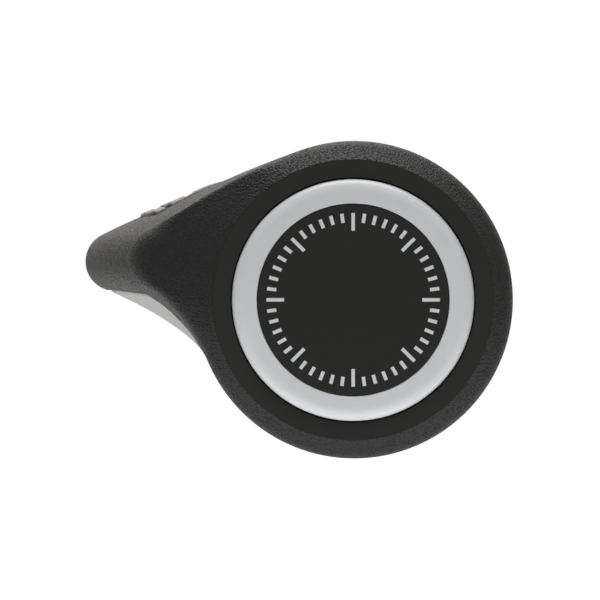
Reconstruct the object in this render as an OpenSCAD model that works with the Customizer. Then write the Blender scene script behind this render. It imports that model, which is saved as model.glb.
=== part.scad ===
// Winged handlebar grip for the right hand, clamped at its inner end and closed by a bar plug.
// The bar axis is Y: the closed outer end faces -Y, the palm wing points to -X, +X is forward.
// Modules place pieces by their depth from the flat outer face; at_frame() then moves the
// origin to the outer start of the bore that grips the bar.

/* [Bar] */
// Radius of the bore that slides on the bar
bore_r = 11.15; // [11.05:0.05:11.35]
// Radius of the roomier bore round the plug, at the closed end
relief_r = 11.5; // [11.4:0.05:11.6]
// Depth at which the gripping bore starts
bore_start = 27; // [26.5:0.5:32]

/* [Core] */
// Wall of the stiff core tube
core_wall = 1.85; // [1.6:0.05:2.1]
// Width of a slot in the core's clamp end
core_slot_w = 2; // [1.5:0.1:2.5]
// Number of slots in the core's clamp end
core_slots = 4; // [3:1:6]
// Thickness of the core's outer flange
flange_t = 2; // [1.5:0.1:2.6]
// Number of ribs that key the rubber to the core
key_ribs = 6; // [4:1:8]
// Height of a key rib above the core
key_h = 0.9; // [0.6:0.05:1.2]
// Width of a key rib
key_w = 3; // [2:0.25:4]

/* [Rubber] */
// Length from the outer face to the inner end of the rubber
skin_len = 117; // [110:1:126]
// Rubber round the smooth ring at the outer rim
rim_rubber = 2.25; // [1.8:0.05:2.5]
// Barrel radius at the waist
waist_r = 16.9; // [16.3:0.1:17.6]
// Barrel radius at the inner end
tail_r = 16.1; // [15.8:0.1:16.6]
// Rounding at the inner end of the rubber
tail_round = 1.2; // [0.8:0.1:1.5]

/* [Wing] */
// Reach of the wing tip from the bar axis
wing_reach = 33.15; // [29:0.25:36]
// Depth at which the wing reaches furthest
wing_peak = 38.5; // [34:0.5:44]
// Tip radius of the wing at its widest
tip_r = 3.7; // [2.8:0.1:4.2]
// Height of the tip's centre above the bar axis
tip_z = 4.8; // [4.4:0.05:5.6]
// Angle between the wing's end face and the flat outer face
face_angle = 24; // [18:1:32]
// Rounding where the end face turns into the wing's side
corner_round = 4; // [2.5:0.25:5]

/* [Palm pads] */
// Height of the pads above the wing
pad_h = 0.35; // [0.2:0.05:0.8]
// Number of pad rows along the wing
pad_rows = 7; // [4:1:8]
// Distance from one row to the next
pad_pitch = 9.6; // [8:0.2:10.4]
// Width of the groove between two pads
pad_gap = 1.1; // [0.9:0.1:1.8]

/* [Underside plate] */
// Thickness of the hard plate under the wing
plate_t = 2.4; // [1.8:0.1:3]
// Rubber left between the plate and the wing's edge
plate_margin = 3; // [2.4:0.1:4]
// Slope of the plate, falling towards the bar
plate_slope = 26; // [23:1:28]
// Rounding of the plate's corners, seen from below
plate_corner = 4; // [2:0.5:6]

/* [End plug] */
// Radius of the pale cap
cap_r = 14.4; // [13.9:0.05:14.6]
// Height of the cap's dome above the outer face
cap_dome = 0.7; // [0.4:0.1:1]
// Width of the pale ring left round the dark disc
cap_ring_w = 3; // [2.4:0.1:4.5]
// Width of the smooth ring round the cap
bezel_w = 1.95; // [1.6:0.05:2.4]
// Radius of the plug's fins
fin_r = 9.3; // [8.8:0.1:9.6]
// Length of the plug's shank
shank_len = 21; // [17:0.5:23]
// Number of fins on the shank
fins = 5; // [4:1:6]

/* [Clamp] */
// Width of the clamp ring along the bar
clamp_w = 11; // [10:0.5:12]
// Wall of the clamp ring
clamp_wall = 3.1; // [2.6:0.1:3.4]
// Gap where the ring is split
split_w = 1.8; // [1.4:0.1:2.2]
// Radius of the clamp bolt's shank
bolt_r = 2; // [1.5:0.1:2.2]
// Length of the bolt's shank
bolt_len = 12; // [10:0.5:13]

/* [Hidden] */
$fn = 96;
seat_gap = 0.05;       // between pieces that seat in one another
cut = 1;               // how far a cutter runs past what it cuts
black = "#2b2d2a";
dark = "#2c2e2b";
hard_black = "#3a3b3a";
pale = "#c4c6c8";
metal = "#9a9ca0";
steel = "#7c7f84";

// ---- shared sizes of the outer end
core_r = bore_r + core_wall;
cap_gap = 0.25;                           // dark line between the cap and the ring
bezel_t = 3;                              // the ring stands on the core's flange
bezel_inner_r = cap_r + cap_gap;
bezel_r = bezel_inner_r + bezel_w;
flange_r = bezel_r - 0.2;
skin_inner_r = bezel_r + 0.1;             // inner edge of the rubber's end face
rim_r = skin_inner_r + rim_rubber;        // barrel radius at the outer rim
inlay_r = cap_r - cap_ring_w;
skin_bore_r = core_r + seat_gap;
skin_pocket_y = bezel_t + flange_t + seat_gap;
clamp_y = skin_len + 0.5;                 // outer side of the clamp ring
core_len = clamp_y + clamp_w + 0.6;

// ---- the grip's section, worked out at each depth y
function smooth(t) = let (c = min(1, max(0, t))) c * c * (3 - 2 * c);
function mix(a, b, t) = a + (b - a) * t;
function unit(v) = v / norm(v);

rim_shift = [0.15, 0.02];                 // where the barrel's centre lies, seen from the end
rim_depth = 5;
waist_y = 35;
form_y = [4, 30];                         // the section's form changes between these depths
front_len = 62;
tail_len = skin_len - wing_peak - 2.5;
wing_fall = [1.25, 1.5];                  // how sharply the wing falls away, in front and behind
tail_hold = 20;                           // the barrel keeps its tail radius over this length
wing_sliver = 0.05;                       // the wing never shrinks quite to the barrel
tip_swell = 0.4;                          // the wing's front has a fatter tip
tip_drop = 0.4;                           // and its tip lies lower
top_bends = [62, 85];                     // radius of the wing's top, in front and further back
under_bends = [19, 52];                   // radius of the hollow under the wing, likewise

function barrel_r(y) = mix(rim_r, waist_r, smooth((y - rim_depth) / (waist_y - rim_depth)))
    + (tail_r - waist_r) * smooth((y - waist_y) / (skin_len - waist_y - tail_hold));
function form(y) = smooth((y - form_y[0]) / (form_y[1] - form_y[0]));
function fall(y) = y < wing_peak
    ? pow(cos(90 * min(1, (wing_peak - y) / front_len)), wing_fall[0])
    : pow(cos(90 * min(1, (y - wing_peak) / tail_len)), wing_fall[1]);
function reach(y) = let (r = barrel_r(y) + wing_sliver) r + (wing_reach - r) * fall(y);
function tip_radius(y) = mix(tip_r + tip_swell, tip_r, form(y));
function tip_centre(y) = [-(reach(y) - tip_radius(y)), mix(tip_z - tip_drop, tip_z, form(y))];
function top_bend(y) = mix(top_bends[0], top_bends[1], form(y));
function under_bend(y) = mix(under_bends[0], under_bends[1], form(y));

// Where circles of radius ra about p and rb about q cross, below the line from p to q
function crossing(p, q, ra, rb) =
    let (d = norm(q - p), u = (q - p) / d, a = (ra * ra - rb * rb + d * d) / (2 * d))
    p + a * u + sqrt(max(0, ra * ra - a * a)) * [-u[1], u[0]];

// n points from p towards q round the centre c, without q
function arc(c, p, q, n, turn) =
    let (a = atan2(p[1] - c[1], p[0] - c[0]), b = atan2(q[1] - c[1], q[0] - c[0]),
         sweep = turn > 0 ? (b - a + 720) % 360 : (b - a - 720) % 360)
    [for (i = [0 : n - 1]) c + norm(p - c) * [cos(a + sweep * i / n), sin(a + sweep * i / n)]];

// Shares of the way along the wing's top at which the grid has a line: each pad column has
// two lines at its foot and two at its shoulders
pad_columns = [0.455, 0.645, 0.757, 0.85];
pad_foot = 0.01;
pad_wall = 0.012;
last_column = len(pad_columns) - 2;
top_shares = concat([0, 0.12, 0.23, 0.35],
    [for (i = [0 : last_column]) each [pad_columns[i] + pad_foot, pad_columns[i] + pad_foot + pad_wall,
        (pad_columns[i] + pad_columns[i + 1]) / 2,
        pad_columns[i + 1] - pad_foot - pad_wall, pad_columns[i + 1] - pad_foot]],
    [0.93]);
inner_raised = [0, 0.1, 1, 0.85, 0];      // the innermost column runs out towards the barrel
pad_raised = [0, 0.85, 1, 0.85, 0];
top_raised = concat([0, 0, 0, 0], inner_raised, [for (i = [1 : last_column]) each pad_raised], [0]);
top_n = len(top_shares);
tip_n = 7;
under_n = 7;
round_n = 26;

// The section as a closed ring: over the wing's top, round its tip, under it, round the barrel
function section(y, lift = 0) =
    let (o = rim_shift, r = barrel_r(y), t = tip_centre(y), rt = tip_radius(y),
         rf = top_bend(y), rc = under_bend(y),
         cf = crossing(o, t, rf - r, rf - rt), cc = crossing(o, t, r + rc, rt + rc),
         a1 = o + r * unit(o - cf), b1 = t + rt * unit(t - cf),
         b2 = t + rt * unit(cc - t), a2 = o + r * unit(cc - o),
         ta = atan2(a1[1] - cf[1], a1[0] - cf[0]),
         tb = atan2(b1[1] - cf[1], b1[0] - cf[0]))
    concat(
        [for (i = [0 : top_n - 1]) let (a = mix(ta, tb, top_shares[i]))
            cf + (rf + lift * top_raised[i]) * [cos(a), sin(a)]],
        arc(t, b1, b2, tip_n, 1),
        arc(cc, b2, a2, under_n, -1),
        arc(o, a2, a1, round_n, 1));

lines = top_n + tip_n + under_n + round_n;
wing_lines = top_n + tip_n + under_n;
top_blend = 0.316;
under_blend = 6;

// 1 on the wing's lines, 0 on the barrel's
function line_share(k) = k < top_n ? top_shares[k] : 1;
function on_wing(k) = k > wing_lines ? 0
    : min(smooth(line_share(k) / top_blend), smooth((wing_lines - k) / under_blend));

// The end face rises from its inner edge to the corner at this slope
rim_angle = 42;
function face_radius(k, y) = skin_inner_r + y / tan(mix(rim_angle, face_angle, on_wing(k)));

// Depth at which line k of the section meets the end face, by halving the interval
deepest_corner = 12;
halvings = 14;
function corner_y(k, lo = 0, hi = deepest_corner, step = 0) =
    step > halvings ? (lo + hi) / 2 :
    let (y = (lo + hi) / 2, p = section(y)[k])
    norm(p) > face_radius(k, y) ? corner_y(k, y, hi, step + 1) : corner_y(k, lo, y, step + 1);

function at_depth(p, y) = [p[0], y, p[1]];
rim_round = 1.1;
ridge_round = 0.45;                       // the ridge over the end face is crisp
ridge_ends = [0.1, 0.8];
ridge_blends = [0.25, 0.2];
function ridge(k) = k < top_n ? smooth((line_share(k) - ridge_ends[0]) / ridge_blends[0]) : 0;
function corner_reach(k) = mix(mix(rim_round, ridge_round, ridge(k)), corner_round, on_wing(k)
    * smooth((line_share(k) - ridge_ends[1]) / ridge_blends[1]) * smooth((wing_lines - 3 - k) / 8));

// One line of the grid through the end face and the rounded corner
bend_steps = 4;
function corner_line(k) =
    let (yc = corner_y(k), pc = section(yc)[k], c = at_depth(pc, yc),
         foot = at_depth(skin_inner_r * unit(pc), 0), q = corner_reach(k),
         along = min(q, 0.6 * norm(c - foot)), a = c + along * unit(foot - c),
         b = at_depth(section(yc + q)[k], yc + q))
    [foot, (foot + a) / 2, for (i = [0 : bend_steps]) let (t = i / bend_steps)
        (1 - t) * (1 - t) * a + 2 * t * (1 - t) * c + t * t * b];

pads_from = 13;
pad_ramp = 0.5;
pad_fade = 5;                             // pads are full height where the wing stands out this far
pad_step = 0.55;                          // a pad's edge stands this share of its height
function pad_ring_ys(i) = let (y = pads_from + i * pad_pitch)
    [[y + pad_gap / 2, 0], [y + pad_gap / 2 + pad_ramp, pad_step], [y + pad_pitch / 2, 1],
     [y + pad_pitch - pad_gap / 2 - pad_ramp, pad_step], [y + pad_pitch - pad_gap / 2, 0]];
pads_to = pads_from + pad_rows * pad_pitch;
side_steps = concat([for (i = [0 : pad_rows - 1]) each pad_ring_ys(i)],
    [for (s = [0.25, 0.5, 0.75, 1]) [mix(pads_to, skin_len - tail_round, s), 0]]);

// Pads grow flatter towards the wing's narrow tail
function pad_lift(y) = pad_h * smooth((reach(y) - barrel_r(y)) / pad_fade);
tail_turn = [30, 60, 90];
tail_rings = [for (a = tail_turn)
    let (inset = tail_round * (1 - cos(a)), y = skin_len - tail_round * (1 - sin(a)))
    [for (p = section(skin_len)) at_depth(p - inset * unit(p), y)]];

corner_grid = [for (k = [0 : lines - 1]) corner_line(k)];
corner_rings = [for (i = [0 : len(corner_grid[0]) - 1]) [for (k = [0 : lines - 1]) corner_grid[k][i]]];
side_rings = [for (s = side_steps) [for (p = section(s[0], s[1] * pad_lift(s[0]))) at_depth(p, s[0])]];
skin_rings = concat(corner_rings, side_rings, tail_rings);

// Closed solid through rings of equal length, with flat ends
module loft(rings) {
    n = len(rings[0]);
    last = (len(rings) - 1) * n;
    walls = [for (j = [0 : len(rings) - 2], i = [0 : n - 1])
        let (a = j * n + i, b = j * n + (i + 1) % n, c = a + n, d = b + n)
        each [[a, b, d], [a, d, c]]];
    polyhedron(
        points = [for (ring = rings) each ring],
        faces = concat(walls, [[for (i = [0 : n - 1]) n - 1 - i]], [[for (i = [0 : n - 1]) last + i]]),
        convexity = 6);
}

// Moves what is modelled from the flat outer face to the frame of the part
module at_frame() {
    translate([0, -bore_start, 0]) children();
}

// Revolves an outline of [radius, depth] about the bar axis
module turned(outline) {
    rotate([-90, 0, 0]) rotate_extrude() polygon(outline);
}

module drill(r, from, to) {
    translate([0, from, 0]) rotate([-90, 0, 0]) cylinder(r = r, h = to - from);
}

// ---- rubber
module skin_form() {
    loft(skin_rings);
}

// The space of the hard plate: under a sloping plane and inside the wing's edge
plate_from = 6.5;
plate_to = wing_peak + 0.7 * tail_len;
plate_tip = [-(wing_reach - plate_margin), tip_z - tip_r + plate_t];
plate_root_x = -core_r * cos(20);
plate_seam = 0.12;
// Round corners no larger than the plate's ends have room for
function plate_width(y) = reach(y) - plate_margin + plate_root_x;
plate_corners = [for (y = [plate_from, plate_to]) min(plate_corner, 0.42 * plate_width(y))];
plate_turn = [0, 30, 60];
plate_steps = 14;
plate_ys = concat([for (a = plate_turn) plate_from + plate_corners[0] * (1 - cos(a))],
    [for (i = [0 : plate_steps])
        mix(plate_from + plate_corners[0], plate_to - plate_corners[1], i / plate_steps)],
    [for (a = plate_turn) plate_to - plate_corners[1] * (1 - cos(60 - a))]);

// How far a round corner of radius c draws the plate's side in, at d from the plate's end
function corner_inset(d, c) = d >= c ? 0 : c - sqrt(max(0, c * c - (c - d) * (c - d)));
function plate_inset(y) = corner_inset(y - plate_from, plate_corners[0])
    + corner_inset(plate_to - y, plate_corners[1]);

// Ribs along the core that the mouldings grip
key_from = skin_pocket_y + 7;
key_to = skin_len - 8;

module key_rib_form(clear) {
    for (i = [0 : key_ribs - 1])
        rotate([0, i * 360 / key_ribs, 0])
            translate([core_r - core_wall / 2, key_from - clear, -key_w / 2 - clear])
                cube([core_wall / 2 + key_h + clear, key_to - key_from + 2 * clear, key_w + 2 * clear]);
}

module plate_space(clear) {
    deep = 40;
    middle = (plate_from + plate_to) / 2;
    outer_side = [for (y = plate_ys)
        [-(reach(y) - plate_margin) + plate_inset(y) - clear, y + (y < middle ? -clear : clear)]];
    root_side = [for (y = plate_ys)
        [plate_root_x - plate_inset(y) + clear, y + (y < middle ? -clear : clear)]];
    last = len(plate_ys) - 1;
    intersection() {
        translate([0, 0, -deep]) linear_extrude(height = 2 * deep)
            polygon(concat(outer_side, [for (i = [0 : last]) root_side[last - i]]));
        translate([plate_tip[0], 0, plate_tip[1] + clear]) rotate([0, plate_slope, 0])
            translate([-deep / 2, 0, -deep]) cube([1.5 * deep, skin_len, deep]);
    }
}

module grip_skin() {
    color(black) at_frame() difference() {
        skin_form();
        plate_space(plate_seam);
        drill(skin_bore_r, -cut, skin_len + cut);
        drill(bezel_r + seat_gap, -cut, skin_pocket_y);
        key_rib_form(seat_gap);
    }
}

module wing_plate() {
    color(hard_black) at_frame() difference() {
        intersection() {
            skin_form();
            plate_space(0);
        }
        drill(skin_bore_r, -cut, skin_len + cut);
        key_rib_form(seat_gap);
    }
}

// ---- stiff core: a tube with an outer flange, key ribs and a slotted clamp end
module core_tube() {
    slot_len = clamp_w + 3;
    lead = 0.6;
    color(hard_black) at_frame() difference() {
        union() {
            turned([[relief_r, bezel_t], [flange_r, bezel_t], [flange_r, bezel_t + flange_t],
                [core_r, bezel_t + flange_t], [core_r, core_len - lead], [core_r - lead, core_len],
                [bore_r, core_len], [bore_r, bore_start], [relief_r, bore_start]]);
            difference() {
                key_rib_form(0);
                drill(core_r - core_wall / 2 + 0.1, 0, core_len);
            }
        }
        for (i = [0 : core_slots - 1])
            rotate([0, (i + 0.5) * 360 / core_slots, 0])
                translate([bore_r - cut, core_len - slot_len, -core_slot_w / 2])
                    cube([core_wall + 2 * cut, slot_len + cut, core_slot_w]);
    }
}

// ---- smooth ring round the cap
bezel_edge = 0.35;

module end_bezel() {
    color(dark) at_frame() turned([[bezel_inner_r, bezel_t], [bezel_inner_r, bezel_edge],
        [bezel_inner_r + bezel_edge, 0], [bezel_r - bezel_edge, 0], [bezel_r, bezel_edge],
        [bezel_r, bezel_t]]);
}

// ---- end plug: a cap with a flat disc let into it, on a finned shank
cap_back = 1.4;
cap_rim = 1.7;                            // rounded edge of the cap
inlay_t = 0.6;
peg_r = 6;
peg_len = 3;

module plug_cap() {
    round_steps = 8;
    edge = [for (i = [0 : round_steps]) let (a = 90 * i / round_steps)
        [cap_r - cap_rim * (1 - sin(a)), -cap_dome * cos(a) + 0.4 * (1 - cos(a))]];
    color(pale) at_frame() turned(concat(
        [[0, -cap_dome + inlay_t], [inlay_r + seat_gap, -cap_dome + inlay_t], [inlay_r + seat_gap, -cap_dome]],
        edge,
        [[cap_r, cap_back], [peg_r, cap_back], [peg_r, cap_back + peg_len], [0, cap_back + peg_len]]));
}

module plug_inlay() {
    bevel = 0.15;
    color(dark) at_frame() turned([[0, -cap_dome], [inlay_r - bevel, -cap_dome],
        [inlay_r, -cap_dome + bevel], [inlay_r, -cap_dome + inlay_t], [0, -cap_dome + inlay_t]]);
}

shank_r = fin_r - 1.3;
shank_wall = 1.9;

module plug_body() {
    shank_end = bezel_t + shank_len;
    web_from = cap_back + peg_len + 0.2;
    web_to = web_from + 1.8;
    fin_t = 1.1;
    fin_pitch = (shank_len - 4) / fins;
    relief_w = 1.6;
    fin_outline = [for (i = [0 : fins - 1]) let (y = bezel_t + 2.4 + i * fin_pitch)
        each [[shank_r, y], [fin_r, y + 0.4], [fin_r, y + fin_t], [shank_r, y + fin_t + 1]]];
    color(hard_black) at_frame() difference() {
        turned(concat([[peg_r + seat_gap, cap_back], [cap_r - 0.6, cap_back], [cap_r - 0.6, bezel_t],
            [shank_r, bezel_t]], fin_outline,
            [[shank_r, shank_end - 1], [shank_r - 0.8, shank_end], [shank_r - shank_wall, shank_end],
            [shank_r - shank_wall, web_to], [0, web_to], [0, web_from], [peg_r + seat_gap, web_from]]));
        for (a = [0, 90])
            rotate([0, a, 0]) translate([-fin_r - cut, web_to + 3, -relief_w / 2])
                cube([2 * (fin_r + cut), shank_len, relief_w]);
    }
}

// ---- clamp: a split ring with a lug below, closed by a socket bolt along X
clamp_r = core_r + seat_gap + clamp_wall;
bolt_y = clamp_y + clamp_w / 2;
bolt_wall = 1.55;                         // metal between the bolt and the bore
lug_wall = 1.2;                           // metal below the bolt
bolt_z = -(core_r + seat_gap + bolt_wall + bolt_r);
lug_half = bolt_r + lug_wall;
bolt_seat_x = 4.6;                        // the washer lies here
washer_t = 0.8;
lug_back = bolt_seat_x + washer_t - bolt_len - 0.6;   // the threaded side covers the bolt's tip
washer_r = bolt_r + 1.6;
washer_room = 0.2;
head_r = bolt_r * 1.75;
head_h = bolt_r * 2;
socket_r = bolt_r * 0.87;                 // across the corners of the hexagon

module along_x(r, from, to) {
    translate([from, bolt_y, bolt_z]) rotate([0, 90, 0]) cylinder(r = r, h = to - from);
}

module lug_outline() {
    corner = 1.4;
    bottom = bolt_z - lug_half;
    translate([lug_back + corner, bottom]) square([bolt_seat_x - lug_back - corner, -bottom]);
    translate([lug_back, bottom + corner]) square([bolt_seat_x - lug_back, -bottom - corner]);
    translate([lug_back + corner, bottom + corner]) circle(r = corner);
}

module clamp_ring() {
    edge = 0.6;
    color(metal) at_frame() difference() {
        union() {
            turned([[core_r, clamp_y], [clamp_r - edge, clamp_y], [clamp_r, clamp_y + edge],
                [clamp_r, clamp_y + clamp_w - edge], [clamp_r - edge, clamp_y + clamp_w],
                [core_r, clamp_y + clamp_w]]);
            translate([0, clamp_y + clamp_w, 0]) rotate([90, 0, 0])
                linear_extrude(height = clamp_w) lug_outline();
        }
        drill(core_r + seat_gap, clamp_y - cut, clamp_y + clamp_w + cut);
        translate([-split_w / 2, clamp_y - cut, bolt_z - lug_half - cut])
            cube([split_w, clamp_w + 2 * cut, lug_half - bolt_z]);
        along_x(bolt_r + 0.2, 0, bolt_seat_x + cut);
        along_x(bolt_r + 0.04, lug_back - cut, 0);
        along_x(washer_r + washer_room, bolt_seat_x, clamp_r + cut);
    }
}

module bolt_washer() {
    color(steel) at_frame() difference() {
        along_x(washer_r, bolt_seat_x, bolt_seat_x + washer_t);
        along_x(bolt_r + 0.15, bolt_seat_x - cut, bolt_seat_x + washer_t + cut);
    }
}

module clamp_bolt() {
    head_x = bolt_seat_x + washer_t;
    color(steel) at_frame() difference() {
        union() {
            along_x(bolt_r, head_x - bolt_len, head_x);
            along_x(head_r, head_x, head_x + head_h);
        }
        translate([head_x + head_h / 2, bolt_y, bolt_z]) rotate([0, 90, 0])
            cylinder(r = socket_r, h = head_h, $fn = 6);
    }
}

grip_skin();
core_tube();
wing_plate();
end_bezel();
plug_cap();
plug_inlay();
plug_body();
clamp_ring();
clamp_bolt();
bolt_washer();
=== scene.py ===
import math

import bpy
import numpy as np
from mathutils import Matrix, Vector


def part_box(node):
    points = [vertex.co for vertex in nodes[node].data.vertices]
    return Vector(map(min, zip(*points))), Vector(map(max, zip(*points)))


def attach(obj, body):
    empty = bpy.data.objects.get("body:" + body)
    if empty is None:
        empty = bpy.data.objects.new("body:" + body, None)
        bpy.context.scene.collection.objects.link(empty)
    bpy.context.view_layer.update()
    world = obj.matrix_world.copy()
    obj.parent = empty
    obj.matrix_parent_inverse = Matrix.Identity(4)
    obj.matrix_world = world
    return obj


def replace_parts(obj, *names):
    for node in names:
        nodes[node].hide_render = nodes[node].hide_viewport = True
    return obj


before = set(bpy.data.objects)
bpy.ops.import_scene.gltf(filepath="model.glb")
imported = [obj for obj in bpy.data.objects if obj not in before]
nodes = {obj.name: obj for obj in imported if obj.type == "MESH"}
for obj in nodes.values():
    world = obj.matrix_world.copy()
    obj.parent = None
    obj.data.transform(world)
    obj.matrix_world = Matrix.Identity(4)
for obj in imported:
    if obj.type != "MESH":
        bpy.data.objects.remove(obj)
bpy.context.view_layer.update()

mm = 0.001


# shader nodes, with their maths written as Python

class Wire:
    # one output of a node
    def __init__(self, graph, socket):
        self.graph = graph
        self.socket = socket

    def maths(self, operation, *values):
        return self.graph.node("ShaderNodeMath", {"operation": operation}, dict(enumerate(values)))

    def __add__(self, other): return self.maths("ADD", self, other)
    def __radd__(self, other): return self.maths("ADD", other, self)
    def __sub__(self, other): return self.maths("SUBTRACT", self, other)
    def __rsub__(self, other): return self.maths("SUBTRACT", other, self)
    def __mul__(self, other): return self.maths("MULTIPLY", self, other)
    def __rmul__(self, other): return self.maths("MULTIPLY", other, self)


def opaque(colour):
    return (*colour, 1) if isinstance(colour, tuple) else colour


class Graph:
    # the node tree of one material, or of the world
    def __init__(self, owner):
        owner.use_nodes = True
        self.tree = owner.node_tree
        self.tree.nodes.clear()

    def node(self, kind, settings=None, values=None, out=0):
        made = self.tree.nodes.new(kind)
        for name, value in (settings or {}).items():
            setattr(made, name, value)
        for name, value in (values or {}).items():
            socket = made.inputs[name]
            if isinstance(value, Wire):
                self.tree.links.new(value.socket, socket)
            else:
                socket.default_value = value
        return Wire(self, made.outputs[out]) if len(made.outputs) else made

    def mixColour(self, factor, first, second):
        return self.node("ShaderNodeMix", {"data_type": "RGBA"},
                         {0: factor, 6: opaque(first), 7: opaque(second)}, out=2)

    def place(self, stretch=(1.0, 1.0, 1.0)):
        spot = self.node("ShaderNodeTexCoord", out=3)
        return self.node("ShaderNodeMapping", None, {"Vector": spot, "Scale": stretch})

    def warp(self, place, scale, amount):
        # bends a pattern by a slow noise, so that its cells come out uneven
        drift = self.node("ShaderNodeTexNoise", None,
                          {"Vector": place, "Scale": scale, "Detail": 1.0}, out=1)
        return self.node("ShaderNodeVectorMath", {"operation": "MULTIPLY_ADD"},
                         {0: drift, 1: (amount,) * 3, 2: place})

    def noise(self, place, scale, detail=2.0, roughness=0.5):
        return self.node("ShaderNodeTexNoise", None, {"Vector": place, "Scale": scale,
                                                      "Detail": detail, "Roughness": roughness})

    def cells(self, place, scale, smoothness):
        return self.node("ShaderNodeTexVoronoi", {"feature": "SMOOTH_F1"},
                         {"Vector": place, "Scale": scale, "Smoothness": smoothness})

    def spread(self, value, source, target=(0.0, 1.0)):
        # maps one range of a value onto another, held at its ends
        return self.node("ShaderNodeMapRange", None,
                         {"Value": value, "From Min": source[0], "From Max": source[1],
                          "To Min": target[0], "To Max": target[1]})

    def bump(self, height, strength, distance):
        return self.node("ShaderNodeBump", None,
                         {"Height": height, "Strength": strength, "Distance": distance})

    def surface(self, **sockets):
        values = {name.replace("_", " "): value for name, value in sockets.items()}
        shader = self.node("ShaderNodeBsdfPrincipled", None, values)
        self.node("ShaderNodeOutputMaterial", None, {"Surface": shader})


def newMaterial(name):
    made = bpy.data.materials.new(name)
    return made, Graph(made)


# meshes

def meshPiece(name, points, faces, material, body, smooth=True, sharp=None):
    mesh = bpy.data.meshes.new(name)
    mesh.from_pydata([tuple(p) for p in points], [], faces)
    mesh.update()
    piece = bpy.data.objects.new(name, mesh)
    bpy.context.scene.collection.objects.link(piece)
    mesh.materials.append(material)
    if smooth:
        mesh.polygons.foreach_set("use_smooth", [True] * len(mesh.polygons))
    if sharp:
        mesh.set_sharp_from_angle(angle=math.radians(sharp))
    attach(piece, body)
    return piece


def gridFaces(rows, count, closedRows=False, closedRound=True):
    faces = []
    for j in range(rows if closedRows else rows - 1):
        a, b = j * count, (j + 1) % rows * count
        for i in range(count if closedRound else count - 1):
            k = (i + 1) % count
            faces.append((a + i, a + k, b + k, b + i))
    return faces


boreStart = 27.0                       # the frame's origin lies this far behind the outer face


def atDepth(p, y):
    # a point of a section, in mm, set at a depth behind the outer face
    return (p[0] * mm, (y - boreStart) * mm, p[1] * mm)


def lathe(name, outline, material, body, steps=256, sharp=35, closed=False):
    # revolves [radius, depth] pairs about the bar's axis
    points = []
    for radius, depth in outline:
        for i in range(steps):
            a = 2 * math.pi * i / steps
            points.append(atDepth((radius * math.cos(a), radius * math.sin(a)), depth))
    faces = gridFaces(len(outline), steps, closedRows=closed)
    if not closed:
        for ring, turn in ((0, -1), (len(outline) - 1, 1)):
            faces.append([ring * steps + i for i in range(steps)][::turn])
    return meshPiece(name, points, faces, material, body, sharp=sharp)


def clip(t):
    return min(1.0, max(0.0, t))


def ease(t):
    c = clip(t)
    return c * c * (3 - 2 * c)


def mix(a, b, t):
    return a + (b - a) * t


def unit(v):
    return v / np.linalg.norm(v)


def angleOf(v):
    return math.atan2(v[1], v[0])


# the grip's section: four tangent arcs whose radii and centres follow the depth, all in mm

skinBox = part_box("grip_skin")
skinLength = (skinBox[1].y - skinBox[0].y) / mm

grip = {
    "rimRadius": 18.95, "waistRadius": 16.9, "tailRadius": 16.1,
    "rimDepth": 5.0, "waistDepth": 35.0, "tailStraight": 20.0, "rimShift": (0.15, 0.02),
    "wingReach": 33.15, "wingPeak": 38.5, "frontLength": 56.0, "wingEnd": 2.5,
    "wingFall": (1.25, 1.5), "leastReach": 0.05,
    "tipRadius": (4.1, 3.7), "tipHeight": (4.8, 4.8), "formDepths": (4.0, 30.0),
    "topBend": (62.0, 85.0), "underBend": (25.0, 52.0),
    "coreRadius": 13.0, "tailRound": 1.2,
}
tailLength = skinLength - grip["wingPeak"] - grip["wingEnd"]


def barrelRadius(y):
    g = grip
    flare = ease((y - g["rimDepth"]) / (g["waistDepth"] - g["rimDepth"]))
    taper = ease((y - g["waistDepth"]) / (skinLength - g["waistDepth"] - g["tailStraight"]))
    return (mix(g["rimRadius"], g["waistRadius"], flare)
            + (g["tailRadius"] - g["waistRadius"]) * taper)


def form(y):
    # 0 at the end face, 1 where the wing has its full form
    low, high = grip["formDepths"]
    return ease((y - low) / (high - low))


def wingShare(y):
    ahead = y < grip["wingPeak"]
    length = grip["frontLength"] if ahead else tailLength
    away = min(1, abs(y - grip["wingPeak"]) / length)
    return math.cos(math.pi / 2 * away) ** grip["wingFall"][0 if ahead else 1]


def reach(y):
    r = barrelRadius(y) + grip["leastReach"]
    return r + (grip["wingReach"] - r) * wingShare(y)


def sectionArcs(y):
    # centre, radius and end angles of the top, the tip, the underside and the barrel
    g, f = grip, form(y)
    o = np.array(g["rimShift"])
    r, rt = barrelRadius(y), mix(*g["tipRadius"], f)
    t = np.array([-(reach(y) - rt), mix(*g["tipHeight"], f)])
    rf, rc = mix(*g["topBend"], f), mix(*g["underBend"], f)
    d = np.linalg.norm(t - o)
    u = (t - o) / d

    def crossing(ra, rb):
        a = (ra * ra - rb * rb + d * d) / (2 * d)
        return o + a * u + math.sqrt(max(0, ra * ra - a * a)) * np.array([-u[1], u[0]])

    cf, cc = crossing(rf - r, rf - rt), crossing(r + rc, rt + rc)
    topStart, topEnd = angleOf(o - cf), angleOf(t - cf)
    underStart, underEnd = angleOf(t - cc), angleOf(o - cc)
    tipEnd, barrelStart = angleOf(cc - t), angleOf(cc - o)
    whole = 2 * math.pi
    return ((cf, rf, topStart, topEnd),
            (t, rt, topEnd, topEnd + (tipEnd - topEnd) % whole),
            (cc, rc, underStart, underStart - (underStart - underEnd) % whole),
            (o, r, barrelStart, barrelStart + (topStart - barrelStart) % whole))


def arcPoint(arc, share, lift=0.0):
    centre, radius, start, end = arc
    a = start + (end - start) * share
    outward = 1 if end > start else -1
    return centre + (radius + lift * outward) * np.array([math.cos(a), math.sin(a)])


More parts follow.
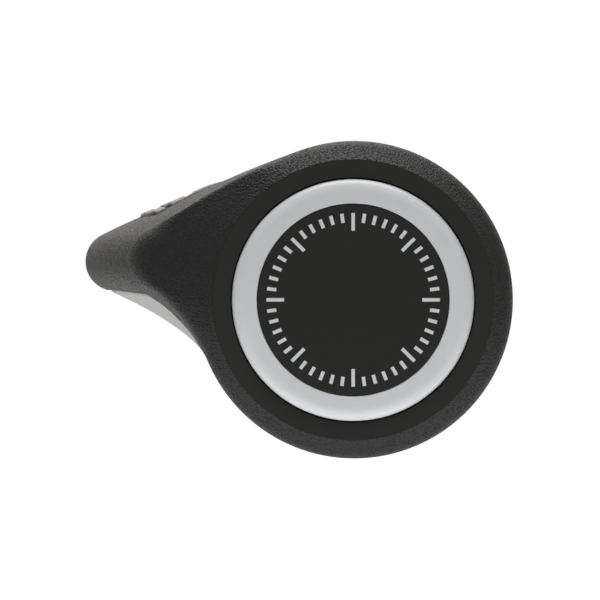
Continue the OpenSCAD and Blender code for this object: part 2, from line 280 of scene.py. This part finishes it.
skinLines = {"top": 110, "tip": 22, "under": 56, "barrel": 96}
lineArcs = [(arc, i / n) for arc, n in enumerate(skinLines.values()) for i in range(n)]


def ringPoint(y, k, lift=0.0):
    arc, share = lineArcs[k]
    return arcPoint(sectionArcs(y)[arc], share, lift)


def ringPoints(y, lifts=None):
    arcs = sectionArcs(y)
    return [arcPoint(arcs[arc], share, 0 if lifts is None else lifts[k])
            for k, (arc, share) in enumerate(lineArcs)]


def wingFade(k, topShare, underShare):
    # 1 on the wing's lines and 0 on the barrel's, eased over a share of the top and the underside
    arc, share = lineArcs[k]
    return (ease(share / topShare), 1.0, ease((1 - share) / underShare), 0.0)[arc]


# the end face, and the round corner between it and the side of the grip

endFace = {
    "innerEdge": 16.7, "rimAngle": 42.0, "faceAngle": 24.0,       # slope on the barrel, on the wing
    "barrelCorner": 1.1, "topCorner": 0.45, "wingCorner": 2.2,    # how far the corner reaches
    "wingFades": (0.316, 6 / 7), "crispFrom": 0.1, "crispOver": 0.25,
    "growFrom": 0.80, "growUntil": (3 / 7, 11 / 7),               # along the tip, then underside
    "deepest": 12.0, "halvings": 18,
}


def onWing(k):
    return wingFade(k, *endFace["wingFades"])


def cornerReach(k):
    e = endFace
    arc, share = lineArcs[k]
    full, gone = e["growUntil"]
    growth = ease((gone - (arc - 1 + share)) / (gone - full))
    crisp = 0.0
    if arc == 0:
        growth = ease((share - e["growFrom"]) / (1 - e["growFrom"]))
        crisp = ease((share - e["crispFrom"]) / e["crispOver"])
    return mix(mix(e["barrelCorner"], e["topCorner"], crisp), e["wingCorner"], onWing(k) * growth)


def cornerDepth(k):
    # where line k of the side meets the cone of the end face
    slope = math.tan(math.radians(mix(endFace["rimAngle"], endFace["faceAngle"], onWing(k))))
    low, high = 0.0, endFace["deepest"]
    for _ in range(endFace["halvings"]):
        y = (low + high) / 2
        if np.linalg.norm(ringPoint(y, k)) > endFace["innerEdge"] + y / slope:
            low = y
        else:
            high = y
    return (low + high) / 2


# palm pads and the plate's recess, as heights on the skin

pads = {
    "height": 0.35, "rows": 7, "pitch": 9.6, "gap": 0.95, "from": 13.0, "overrun": 0.1,
    "columns": (0.455, 0.645, 0.757, 0.84), "columnGap": 0.6, "corner": 0.9,
    "step": 0.3, "dome": 4.2, "edge": 0.42,                  # foot, run to the crown, edge height
    "groove": 0.12, "grooveAt": 0.1, "grooveWidth": 0.26,
    "runOut": (0.455, 0.56), "fadeReach": 5.0,
    "topFrom": 0.25, "topFull": 0.375, "grooveFull": 2 / 3,  # lifts that count as top and as groove
}
plate = {
    "from": 6.5, "to": grip["wingPeak"] + 0.7 * tailLength, "margin": 3.0, "rootX": 12.2,
    "recess": 0.5, "wall": 0.3, "corner": 4.0, "seam": 0.16, "sunk": 0.03, "backRoom": 0.05,
    "edgeRound": 0.25, "edgeDrop": 0.6, "halfSpan": (9, 42), "grid": (60, 150),
}
grain = {"height": 0.03, "lifts": (-0.05, 0.06), "fades": (0.15, 0.15), "startRings": 4}
grainDice = np.random.default_rng(11)


def roundedBox(x, y, halfX, halfY, corner):
    # signed distance to a rectangle with round corners
    dx, dy = abs(x) - halfX + corner, abs(y) - halfY + corner
    return math.hypot(max(dx, 0), max(dy, 0)) + min(max(dx, dy), 0) - corner


def padLift(y, share, topLength):
    # low cushions on the wing's top, each with a fine groove round its foot
    p = pads
    row = (y - p["from"]) / p["pitch"]
    if not -p["overrun"] <= row < p["rows"] + p["overrun"]:
        return 0.0
    middle = p["from"] + (min(p["rows"] - 1, max(0, math.floor(row))) + 0.5) * p["pitch"]
    halfLength = (p["pitch"] - p["gap"]) / 2
    nearest = min(
        roundedBox((share - (left + right) / 2) * topLength, y - middle,
                   (right - left) / 2 * topLength - p["columnGap"] / 2, halfLength, p["corner"])
        for left, right in zip(p["columns"], p["columns"][1:]))
    low, high = p["runOut"]
    fade = ease((reach(y) - barrelRadius(y)) / p["fadeReach"]) * ease((share - low) / (high - low))
    groove = p["groove"] * math.exp(-((nearest - p["grooveAt"]) / p["grooveWidth"]) ** 2)
    inside = max(0, -abs(y - middle) + halfLength)
    dome = mix(p["edge"], 1, 1 - (1 - min(1, inside / p["dome"])) ** 2)
    return fade * (p["height"] * ease(-nearest / p["step"]) * dome - groove)


def plateAway(x, y):
    # signed distance to the plate's outline, whose outer edge follows the wing's reach
    p = plate
    left, right = -(reach(y) - p["margin"]), -p["rootX"]
    middleX, middleY = (left + right) / 2, (p["from"] + p["to"]) / 2
    return roundedBox(x - middleX, y - middleY, (right - left) / 2, (p["to"] - p["from"]) / 2,
                      p["corner"])


def recessLift(arcs, arc, share, y):
    p = arcPoint(arcs[arc], share)
    tipCentre = arcs[1][0]
    if p[1] < tipCentre[1] and p[0] < 0:
        return -plate["recess"] * ease(-plateAway(p[0], y) / plate["wall"] + 0.5)
    return 0.0


def skinLifts(y):
    arcs = sectionArcs(y)
    top = arcs[0]
    topLength = top[1] * abs(top[3] - top[2])
    return [recessLift(arcs, arc, share, y) if arc else padLift(y, share, topLength)
            for arc, share in lineArcs]


def grainLift(k, lift):
    # the moulded grain as real height on the wing, left out on the pads and under the plate
    fade = wingFade(k, *grain["fades"])
    low, high = grain["lifts"]
    if low < lift < high and fade > 0:
        return -grain["height"] * fade * abs(grainDice.normal())
    return 0.0


def padTone(k, lift):
    # 1 on the pads' smooth tops, down to -1 in the groove round each pad, where the rubber's colour
    # gets painted shade
    if lineArcs[k][0] != 0:
        return 0.0
    p = pads
    top = clip((lift / p["height"] - p["topFrom"]) / (p["topFull"] - p["topFrom"]))
    return top - clip(-lift / (p["groove"] * p["grooveFull"]))


skin = {
    "faceRings": 3, "faceShare": 0.6, "cornerSteps": 8, "joinSteps": 18, "ringPitch": 0.3,
    "levelFrom": 10.0,                                       # from here each ring lies at one depth
    "tailAngles": (15, 30, 45, 60, 75, 90),
    "room": 0.05, "pocketDepth": 5.05, "lipDepth": 0.4, "lip": 0.06,
}


def cornerLine(k):
    # line k over the end face and round its corner, with the depth at which the side starts
    yc, q = cornerDepth(k), cornerReach(k)
    pc, pb = ringPoint(yc, k), ringPoint(yc + q, k)
    corner = np.array([pc[0], yc, pc[1]])
    flat = endFace["innerEdge"] * unit(pc)
    foot = np.array([flat[0], 0, flat[1]])
    a = corner + min(q, skin["faceShare"] * np.linalg.norm(corner - foot)) * unit(foot - corner)
    b = np.array([pb[0], yc + q, pb[1]])
    line = [foot + (a - foot) * i / skin["faceRings"] for i in range(skin["faceRings"])]
    for i in range(skin["cornerSteps"] + 1):
        t = i / skin["cornerSteps"]
        line.append((1 - t) ** 2 * a + 2 * t * (1 - t) * corner + t * t * b)
    return line, yc + q, pc


def makeSkin(material):
    s = skin
    lines, starts, corners = zip(*[cornerLine(k) for k in range(len(lineArcs))])
    rings = [[atDepth((p[0], p[2]), p[1]) for p in ring] for ring in zip(*lines)]
    for j in range(1, s["joinSteps"] + 1):
        ring = []
        for k, start in enumerate(starts):
            arc, share = lineArcs[k]
            y = mix(start, s["levelFrom"], j / s["joinSteps"])
            lift = recessLift(sectionArcs(y), arc, share, y) if arc else 0.0
            grained = min(1, j / grain["startRings"]) * grainLift(k, lift)
            ring.append(atDepth(ringPoint(y, k, lift + grained), y))
        rings.append(ring)
    raised = [0.0] * (len(rings) * len(lineArcs))
    sideEnd = skinLength - grip["tailRound"]
    sideCount = int((sideEnd - s["levelFrom"]) / s["ringPitch"])
    for j in range(1, sideCount + 1):
        y = mix(s["levelFrom"], sideEnd, j / sideCount)
        lifts = skinLifts(y)
        grained = [lift + grainLift(k, lift) for k, lift in enumerate(lifts)]
        rings.append([atDepth(p, y) for p in ringPoints(y, grained)])
        raised += [padTone(k, lift) for k, lift in enumerate(lifts)]
    last = ringPoints(skinLength)
    for a in s["tailAngles"]:
        inset = grip["tailRound"] * (1 - math.cos(math.radians(a)))
        y = skinLength - grip["tailRound"] * (1 - math.sin(math.radians(a)))
        rings.append([atDepth(p - inset * unit(p), y) for p in last])
    bore, edge = grip["coreRadius"] + s["room"], endFace["innerEdge"]
    rings.append([atDepth(bore * unit(p), skinLength) for p in last])
    for radius, y in ((bore, s["pocketDepth"]), (edge - s["room"], s["pocketDepth"]),
                      (edge - s["room"], s["lipDepth"]), (edge, s["lip"])):
        rings.append([atDepth(radius * unit(p), y) for p in corners])
    points = [p for ring in rings for p in ring]
    faces = [f[::-1] for f in gridFaces(len(rings), len(lineArcs), closedRows=True)]
    raised += [0.0] * (len(points) - len(raised))
    piece = meshPiece("rubberGrip", points, faces, material, "grip", sharp=50)
    piece.data.attributes.new("raised", "FLOAT", "POINT").data.foreach_set("value", raised)
    return piece


# materials

def rubberMaterial():
    look = {
        "colour": (0.0085, 0.0091, 0.0083), "worn": (0.0125, 0.0131, 0.0122), "wornScale": 60.0,
        # the groove colour is painted shade, darker than the rubber
        "grooveShade": (0.003, 0.003, 0.003), "stretch": (1.0, 0.8, 1.0), "depth": 0.075,
        "cell": 0.24, "fine": 0.11, "patch": 1.6, "warp": (1.0, 0.22),     # all in mm
        "cellHeight": 1.1, "fineHeight": 0.35, "patchHeight": 0.4, "padSmooth": 0.7,
        "rough": 0.38, "cellRough": 0.5, "padRough": 0.23, "grooveRough": 0.95, "specular": 0.36,
    }
    made, g = newMaterial("grainedRubber")
    place = g.place(look["stretch"])
    bent = g.warp(place, 1 / (look["warp"][0] * mm), look["warp"][1] * mm)
    cells = g.cells(bent, 1 / (look["cell"] * mm), 0.25)
    fine = g.noise(place, 1 / (look["fine"] * mm), 2.0, 0.6)
    patches = g.noise(place, 1 / (look["patch"] * mm), 2.0)
    tone = g.node("ShaderNodeAttribute", {"attribute_name": "raised"}, out=2)
    raised, sunk = tone.maths("MAXIMUM", tone, 0.0), tone.maths("MAXIMUM", 0 - tone, 0.0)
    height = cells * look["cellHeight"] + fine * look["fineHeight"] + patches * look["patchHeight"]
    normal = g.bump(height * (1 - raised * look["padSmooth"]), 1.0, look["depth"] * mm)
    rough = look["rough"] + cells * look["cellRough"]
    rough = rough - raised * (rough - look["padRough"]) + sunk * (look["grooveRough"] - rough)
    base = g.mixColour(g.noise(place, look["wornScale"], 3.0), look["colour"], look["worn"])
    # in the groove round each pad the colour is painted darker, as painted shade
    g.surface(Base_Color=g.mixColour(sunk, base, look["grooveShade"]), Roughness=rough, Normal=normal,
              Specular_IOR_Level=look["specular"])
    return made


def plainPlastic(name, colour, roughness, specular, fineScale, depth):
    look = {"broadScale": 90.0, "lighter": 1.12, "bump": 0.4, "uneven": 0.06}
    made, g = newMaterial(name)
    place = g.place()
    fine = g.noise(place, fineScale, 3.0, 0.6)
    broad = g.noise(place, look["broadScale"], 2.0)
    lighter = tuple(min(1.0, c * look["lighter"]) for c in colour)
    g.surface(Base_Color=g.mixColour(broad, colour, lighter),
              Roughness=roughness + broad * look["uneven"],
              Normal=g.bump(fine, look["bump"], depth), Specular_IOR_Level=specular)
    return made


def metalMaterial(name, colour, roughness, fineScale):
    look = {"broadScale": 120.0, "lighter": 1.15, "bump": 0.35, "depth": 0.00002, "uneven": 0.12}
    made, g = newMaterial(name)
    place = g.place()
    fine = g.noise(place, fineScale, 4.0, 0.65)
    broad = g.noise(place, look["broadScale"], 2.0)
    g.surface(Base_Color=g.mixColour(broad, colour, tuple(c * look["lighter"] for c in colour)),
              Roughness=roughness + fine * look["uneven"], Metallic=1.0,
              Normal=g.bump(fine, look["bump"], look["depth"]))
    return made


paleGrey, blackGrey = (0.705, 0.715, 0.728), (0.035, 0.035, 0.035)
rubber = rubberMaterial()
corePlastic = plainPlastic("corePlastic", blackGrey, 0.42, 0.5, 2500.0, 0.00001)
platePlastic = plainPlastic("platePlastic", (0.05, 0.048, 0.048), 0.22, 0.5, 1800.0, 0.000006)
bezelPlastic = plainPlastic("bezelPlastic", (0.0250, 0.0268, 0.0240), 0.75, 0.2, 3000.0, 0.00002)
capPlastic = plainPlastic("capPlastic", paleGrey, 0.34, 0.5, 2600.0, 0.000006)
inlayPlastic = plainPlastic("inlayPlastic", (0.0225, 0.0242, 0.0216), 0.75, 0.2, 5000.0, 0.00003)
markWhite = plainPlastic("markWhite", paleGrey, 0.5, 0.4, 2600.0, 0.000006)
clampMetal = metalMaterial("clampMetal", (0.035, 0.035, 0.038), 0.45, 3000.0)
boltSteel = metalMaterial("boltSteel", (0.45, 0.45, 0.46), 0.28, 2500.0)
print("materials")

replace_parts(makeSkin(rubber), "grip_skin")
print("skin and pads")


def underPoint(x, y, lift):
    # the point of the wing's underside that lies at x, moved out by lift
    arcs = sectionArcs(y)
    for arc in arcs[1:]:
        centre, radius, start, end = arc
        outward = 1 if end > start else -1
        dx = (x - centre[0]) / radius
        if abs(dx) > 1:
            continue
        rise = math.sqrt(1 - dx * dx) * (1 if arc is arcs[2] else -1)
        share = ((math.atan2(rise, dx) - start) * outward) % (2 * math.pi) / abs(end - start)
        if share <= 1.0001:
            r = radius + lift * outward
            return atDepth((centre[0] + r * dx, centre[1] + r * rise), y)
    return atDepth(arcPoint(arcs[3], 0), y)


def makePlate(material):
    # a patch of the section's underside, drawn from a square grid to the rounded outline
    p = plate
    across, along = p["grid"]
    low, high = p["from"] + p["seam"], p["to"] - p["seam"]
    halfY = (high - low) / 2

    def spot(u, v):
        # u and v run from -1 to 1; the ends are drawn in by the corner's radius
        y = mix(low, high, (v + 1) / 2)
        left, right = -(reach(y) - p["margin"]) + p["seam"], -p["rootX"] - p["seam"]
        halfX = (right - left) / 2
        overY = abs(v) * halfY - (halfY - p["corner"])
        if overY > 0:
            halfX += math.sqrt(max(0.0, p["corner"] ** 2 - overY * overY)) - p["corner"]
        return u * halfX + (left + right) / 2, y

    face, back = [], []
    for j in range(along + 1):
        for i in range(across + 1):
            u, v = 2 * i / across - 1, 2 * j / along - 1
            x, y = spot(u, v)
            inside = min((1 - abs(u)) * p["halfSpan"][0], (1 - abs(v)) * p["halfSpan"][1])
            away = 1 - min(1, inside / p["edgeRound"])
            drop = p["edgeRound"] * (1 - math.sqrt(max(0.0, 1 - away ** 2)))
            face.append(underPoint(x, y, -p["sunk"] - drop * p["edgeDrop"]))
            back.append(underPoint(x, y, p["backRoom"] - p["recess"]))
    count, n = across + 1, len(face)
    grid = gridFaces(along + 1, count, closedRound=False)
    faces = [f[::-1] for f in grid] + [tuple(n + i for i in f) for f in grid]
    border = (list(range(count)) + [j * count + across for j in range(1, along + 1)]
              + [along * count + i for i in range(across - 1, -1, -1)]
              + [j * count for j in range(along - 1, 0, -1)])
    faces += [(a, b, n + b, n + a) for a, b in zip(border, border[1:] + border[:1])]
    return meshPiece("wingPlate", face + back, faces, material, "grip", sharp=40)


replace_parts(makePlate(platePlastic), "wing_plate")
print("plate")

cap = {
    "radius": 14.4, "dome": 0.7, "rim": 1.7, "rimDrop": 0.4, "rimSteps": 14,
    "back": 1.4, "pegRadius": 6.0, "pegEnd": 4.4, "lip": 0.06,
    "inlayRadius": 11.4, "inlayThick": 0.6, "inlayRoom": 0.05, "inlayBevel": 0.12,
    "middle": 0.01,                                          # radius of the small flat on the axis
}
bezel = {"inner": 14.54, "outer": 16.69, "innerRound": 0.22, "outerRound": 0.05, "back": 3.0}


def quarter(centre, radius, start, end, steps=8):
    # points of an arc in [radius, depth]
    angles = [math.radians(mix(start, end, i / steps)) for i in range(steps + 1)]
    return [(centre[0] + radius * math.cos(a), centre[1] + radius * math.sin(a)) for a in angles]


def makeCap():
    c = cap
    seat, floorDepth = c["inlayRadius"] + c["inlayRoom"], c["inlayThick"] - c["dome"]
    angles = [math.pi / 2 * i / c["rimSteps"] for i in range(c["rimSteps"] + 1)]
    outline = [(c["middle"], floorDepth), (seat, floorDepth), (seat, c["lip"] - c["dome"]),
               (seat + c["lip"], -c["dome"])]
    outline += [(c["radius"] - c["rim"] * (1 - math.sin(a)),
                 -c["dome"] * math.cos(a) + c["rimDrop"] * (1 - math.cos(a))) for a in angles]
    outline += [(c["radius"], c["back"]), (c["pegRadius"], c["back"]),
                (c["pegRadius"], c["pegEnd"]), (c["middle"], c["pegEnd"])]
    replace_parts(lathe("capDome", outline, capPlastic, "plug"), "plug_cap")
    inlay = [(c["middle"], -c["dome"]), (c["inlayRadius"] - c["inlayBevel"], -c["dome"]),
             (c["inlayRadius"], c["inlayBevel"] - c["dome"]), (c["inlayRadius"], floorDepth),
             (c["middle"], floorDepth)]
    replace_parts(lathe("inlayDisc", inlay, inlayPlastic, "plug"), "plug_inlay")


def makeBezel():
    b = bezel
    inner, outer = b["innerRound"], b["outerRound"]
    ring = [(b["inner"], b["back"]), *quarter((b["inner"] + inner, inner), inner, 180, 270),
            *quarter((b["outer"] - outer, outer), outer, 270, 360), (b["outer"], b["back"])]
    piece = lathe("bezelRing", ring, bezelPlastic, "grip", closed=True)
    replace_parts(piece, "end_bezel")


def makeMarks():
    # an angle scale for setting the wing: plain ticks round the disc
    m = {"count": 48, "outer": 10.3, "short": 1.1, "long": 2.1, "everyLong": 6, "width": 0.42,
         "rise": 0.03, "root": 0.05}
    points, faces = [], []

    def block(corners):
        base, n = len(points), len(corners)
        for depth in (m["root"] - cap["dome"], -m["rise"] - cap["dome"]):
            points.extend(atDepth(p, depth) for p in corners)
        faces.append([base + n + i for i in range(n)])
        for i in range(n):
            k = (i + 1) % n
            faces.append([base + i, base + k, base + n + k, base + n + i])

    for i in range(m["count"]):
        a = 2 * math.pi * i / m["count"]
        length = m["long"] if i % m["everyLong"] == 0 else m["short"]
        u = np.array([math.cos(a), math.sin(a)])
        w = np.array([-math.sin(a), math.cos(a)]) * m["width"] / 2
        inner, outer = u * (m["outer"] - length), u * m["outer"]
        block([inner - w, outer - w, outer + w, inner + w])
    meshPiece("angleScale", points, faces, markWhite, "plug", smooth=False)


makeCap()
makeBezel()
makeMarks()
print("cap, inlay and bezel")


def makeBolt():
    # a right-handed thread, a knurled head and a socket, where the frame has its plain bolt
    b = {
        "steps": 192, "shank": 2.0, "root": 1.62, "pitch": 0.7, "rowsPerPitch": 8,
        "thread": (0.45, 11.0), "point": 0.15, "flank": (2.6, 0.15),
        "head": 3.5, "knurls": 32, "knurlDepth": 0.07,
        "nose": ((0.0, 0.02), (0.0, 1.52), (0.15, 1.62)),              # [x from the tip, radius]
        "neck": ((11.1, 2.0), (12.0, 2.0), (12.0, 3.35), (12.15, 3.5)),
        "knurlStart": (12.5, 12.6), "knurlEnd": (-0.75, -0.6),         # these from the head's face
        "crown": ((-0.35, 3.5), (-0.1, 3.4), (0.0, 3.1)),
        "socket": 1.74, "socketRings": ((0.0, 1.12), (-0.15, 1.0), (-2.0, 1.0)),
        "socketFloor": (-2.3, 0.02),
    }
    low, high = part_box("clamp_bolt")
    tip, face = low.x / mm, high.x / mm
    middleY, middleZ = (low.y + high.y) / 2 / mm, (low.z + high.z) / 2 / mm
    angles = [2 * math.pi * i / b["steps"] for i in range(b["steps"])]
    rings = []

    def ring(x, radius):
        rings.append([(x * mm, (middleY + radius(a) * math.cos(a)) * mm,
                       (middleZ + radius(a) * math.sin(a)) * mm) for a in angles])

    def plain(x, radius):
        ring(x, lambda a: radius)

    def knurled(x):
        ring(x, lambda a: b["head"] - b["knurlDepth"] * (0.5 + 0.5 * math.cos(b["knurls"] * a)))

    def hexagon(x, scale):
        side = math.pi / 3
        ring(x, lambda a: b["socket"] * scale * math.cos(side / 2) / math.cos(a % side - side / 2))

    def threaded(along):
        # the thread grows in behind the point and runs out before the plain neck
        depth = (b["shank"] - b["root"]) * ease((threadEnd - along) / b["pitch"])
        growth = ease((along - b["point"]) / b["pitch"])

        def radius(a):
            turn = (along / b["pitch"] - a / (2 * math.pi)) % 1
            flank = clip(b["flank"][0] * abs(turn - 0.5) - b["flank"][1])
            return mix(b["root"], b["shank"] - depth * flank, growth)

        ring(tip + along, radius)

    for x, radius in b["nose"]:
        plain(tip + x, radius)
    threadStart, threadEnd = b["thread"]
    count = int((threadEnd - threadStart) / b["pitch"] * b["rowsPerPitch"])
    for j in range(count + 1):
        threaded(mix(threadStart, threadEnd, j / count))
    for x, radius in b["neck"]:
        plain(tip + x, radius)
    plain(tip + b["knurlStart"][0], b["head"])
    knurled(tip + b["knurlStart"][1])
    knurled(face + b["knurlEnd"][0])
    plain(face + b["knurlEnd"][1], b["head"])
    for x, radius in b["crown"]:
        plain(face + x, radius)
    for x, scale in b["socketRings"]:
        hexagon(face + x, scale)
    plain(face + b["socketFloor"][0], b["socketFloor"][1])
    points = [p for r in rings for p in r]
    faces = [f[::-1] for f in gridFaces(len(rings), b["steps"])]
    last = (len(rings) - 1) * b["steps"]
    faces += [list(range(b["steps"]))[::-1], [last + i for i in range(b["steps"])]]
    piece = meshPiece("socketBolt", points, faces, boltSteel, "bolt", sharp=35)
    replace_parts(piece, "clamp_bolt")


makeBolt()
print("bolt")

frameParts = {"core_tube": corePlastic, "plug_body": corePlastic, "clamp_ring": clampMetal,
              "bolt_washer": boltSteel}
for name, material in frameParts.items():
    slots = nodes[name].data.materials
    slots.clear()
    slots.append(material)
print("frame parts")

view = {"distance": 0.7, "pixel": 0.11875 * mm, "pixels": 600, "axisPixel": (353.1, 299.85),
        "centre": 300.0, "sensor": 36.0, "clip": (0.01, 50.0)}


def makeCamera():
    # looks straight along the bar, with the bar's axis where the photo has it
    data = bpy.data.cameras.new("camera")
    camera = bpy.data.objects.new("camera", data)
    bpy.context.scene.collection.objects.link(camera)
    data.sensor_width = view["sensor"]
    data.lens = view["sensor"] * view["distance"] / (view["pixels"] * view["pixel"])
    data.clip_start, data.clip_end = view["clip"]
    x = -(view["axisPixel"][0] - view["centre"]) * view["pixel"]
    z = (view["axisPixel"][1] - view["centre"]) * view["pixel"]
    camera.location = (x, -boreStart * mm - view["distance"], z)
    camera.rotation_euler = (math.pi / 2, 0, 0)
    bpy.context.scene.camera = camera


lamps = {
    "softboxAbove": {"place": (-0.02, -0.03, 0.75), "target": (0, 0.03, 0), "size": (0.6, 0.4),
                     "power": 7.7, "colour": (1.0, 1.0, 1.0)},
    "softboxBehind": {"place": (-0.15, 0.55, 0.6), "target": (0, 0.05, 0), "size": (0.7, 0.4),
                      "power": 1.9, "colour": (1.0, 0.96, 0.91)},
}


def makeLamp(name, look):
    data = bpy.data.lights.new(name, "AREA")
    data.shape = "RECTANGLE"
    data.size, data.size_y = look["size"]
    data.energy = look["power"]
    data.color = look["colour"]
    lamp = bpy.data.objects.new(name, data)
    lamp.location = look["place"]
    towards = Vector(look["target"]) - Vector(look["place"])
    lamp.rotation_euler = towards.to_track_quat("-Z", "Y").to_euler()
    bpy.context.scene.collection.objects.link(lamp)


def makeWorld():
    # white where it is seen, nearly dark as a light; mirror images show it pale behind the grip
    look = {"dim": 0.01, "mirrored": 0.68, "behind": (-0.1, 0.6), "height": (0.0, 0.3),
            "above": (1.0, 1.85), "warm": (1.0, 0.97, 0.94), "white": (1.0, 1.0, 1.0)}
    world = bpy.data.worlds.new("studio")
    bpy.context.scene.world = world
    g = Graph(world)
    direction = g.node("ShaderNodeTexCoord")
    along, up = (g.node("ShaderNodeSeparateXYZ", None, {0: direction}, out=i) for i in (1, 2))
    behind = g.spread(along, look["behind"])
    above = g.spread(up, look["height"], look["above"])
    seen, glossy, through = (g.node("ShaderNodeLightPath", out=i) for i in (0, 3, 6))
    mirrored = glossy.maths("MAXIMUM", glossy, through)
    shown = seen + (1 - seen) * (look["dim"] + mirrored * behind * above * look["mirrored"])
    tint = g.mixColour(seen, look["warm"], look["white"])
    shader = g.node("ShaderNodeBackground", None, {"Color": tint, "Strength": shown})
    g.node("ShaderNodeOutputWorld", None, {"Surface": shader})


def makeFloor():
    # adds white for the camera, so that it reads as white and keeps the shadow;
    # near the grip it also glows a little from below
    look = {"size": 6.0, "height": -0.06, "colour": (0.80, 0.80, 0.80), "speck": (0.84, 0.84, 0.84),
            "speckScale": 40.0, "rough": 0.9, "specular": 0.1,
            "liftOver": (0.15, 0.8), "lift": (0.25, 1.0),
            "glowOver": (0.05, 0.3), "glow": (0.7, 0.1)}
    material, g = newMaterial("floorPaper")
    specks = g.noise(g.place(), look["speckScale"], 2.0)
    paper = g.node("ShaderNodeBsdfPrincipled", None,
                   {"Base Color": g.mixColour(specks, look["colour"], look["speck"]),
                    "Roughness": look["rough"], "Specular IOR Level": look["specular"]})
    spot = g.node("ShaderNodeTexCoord", out=3)
    away = g.node("ShaderNodeVectorMath", {"operation": "LENGTH"}, {0: spot}, out=1)
    lift = g.spread(away, look["liftOver"], look["lift"])
    glow = g.spread(away, look["glowOver"], look["glow"])
    seen = g.node("ShaderNodeLightPath")
    white = g.node("ShaderNodeEmission", None, {"Strength": seen * lift + (1 - seen) * glow})
    both = g.node("ShaderNodeAddShader", None, {0: paper, 1: white})
    g.node("ShaderNodeOutputMaterial", None, {"Surface": both})
    s, z = look["size"], look["height"]
    mesh = bpy.data.meshes.new("floor")
    mesh.from_pydata([(-s, -s, z), (s, -s, z), (s, s, z), (-s, s, z)], [], [(0, 1, 2, 3)])
    mesh.materials.append(material)
    floor = bpy.data.objects.new("floor", mesh)
    bpy.context.scene.collection.objects.link(floor)


makeCamera()
makeWorld()
makeFloor()
for name, look in lamps.items():
    makeLamp(name, look)
bpy.context.scene.view_settings.view_transform = "Standard"
print("camera, light and floor")
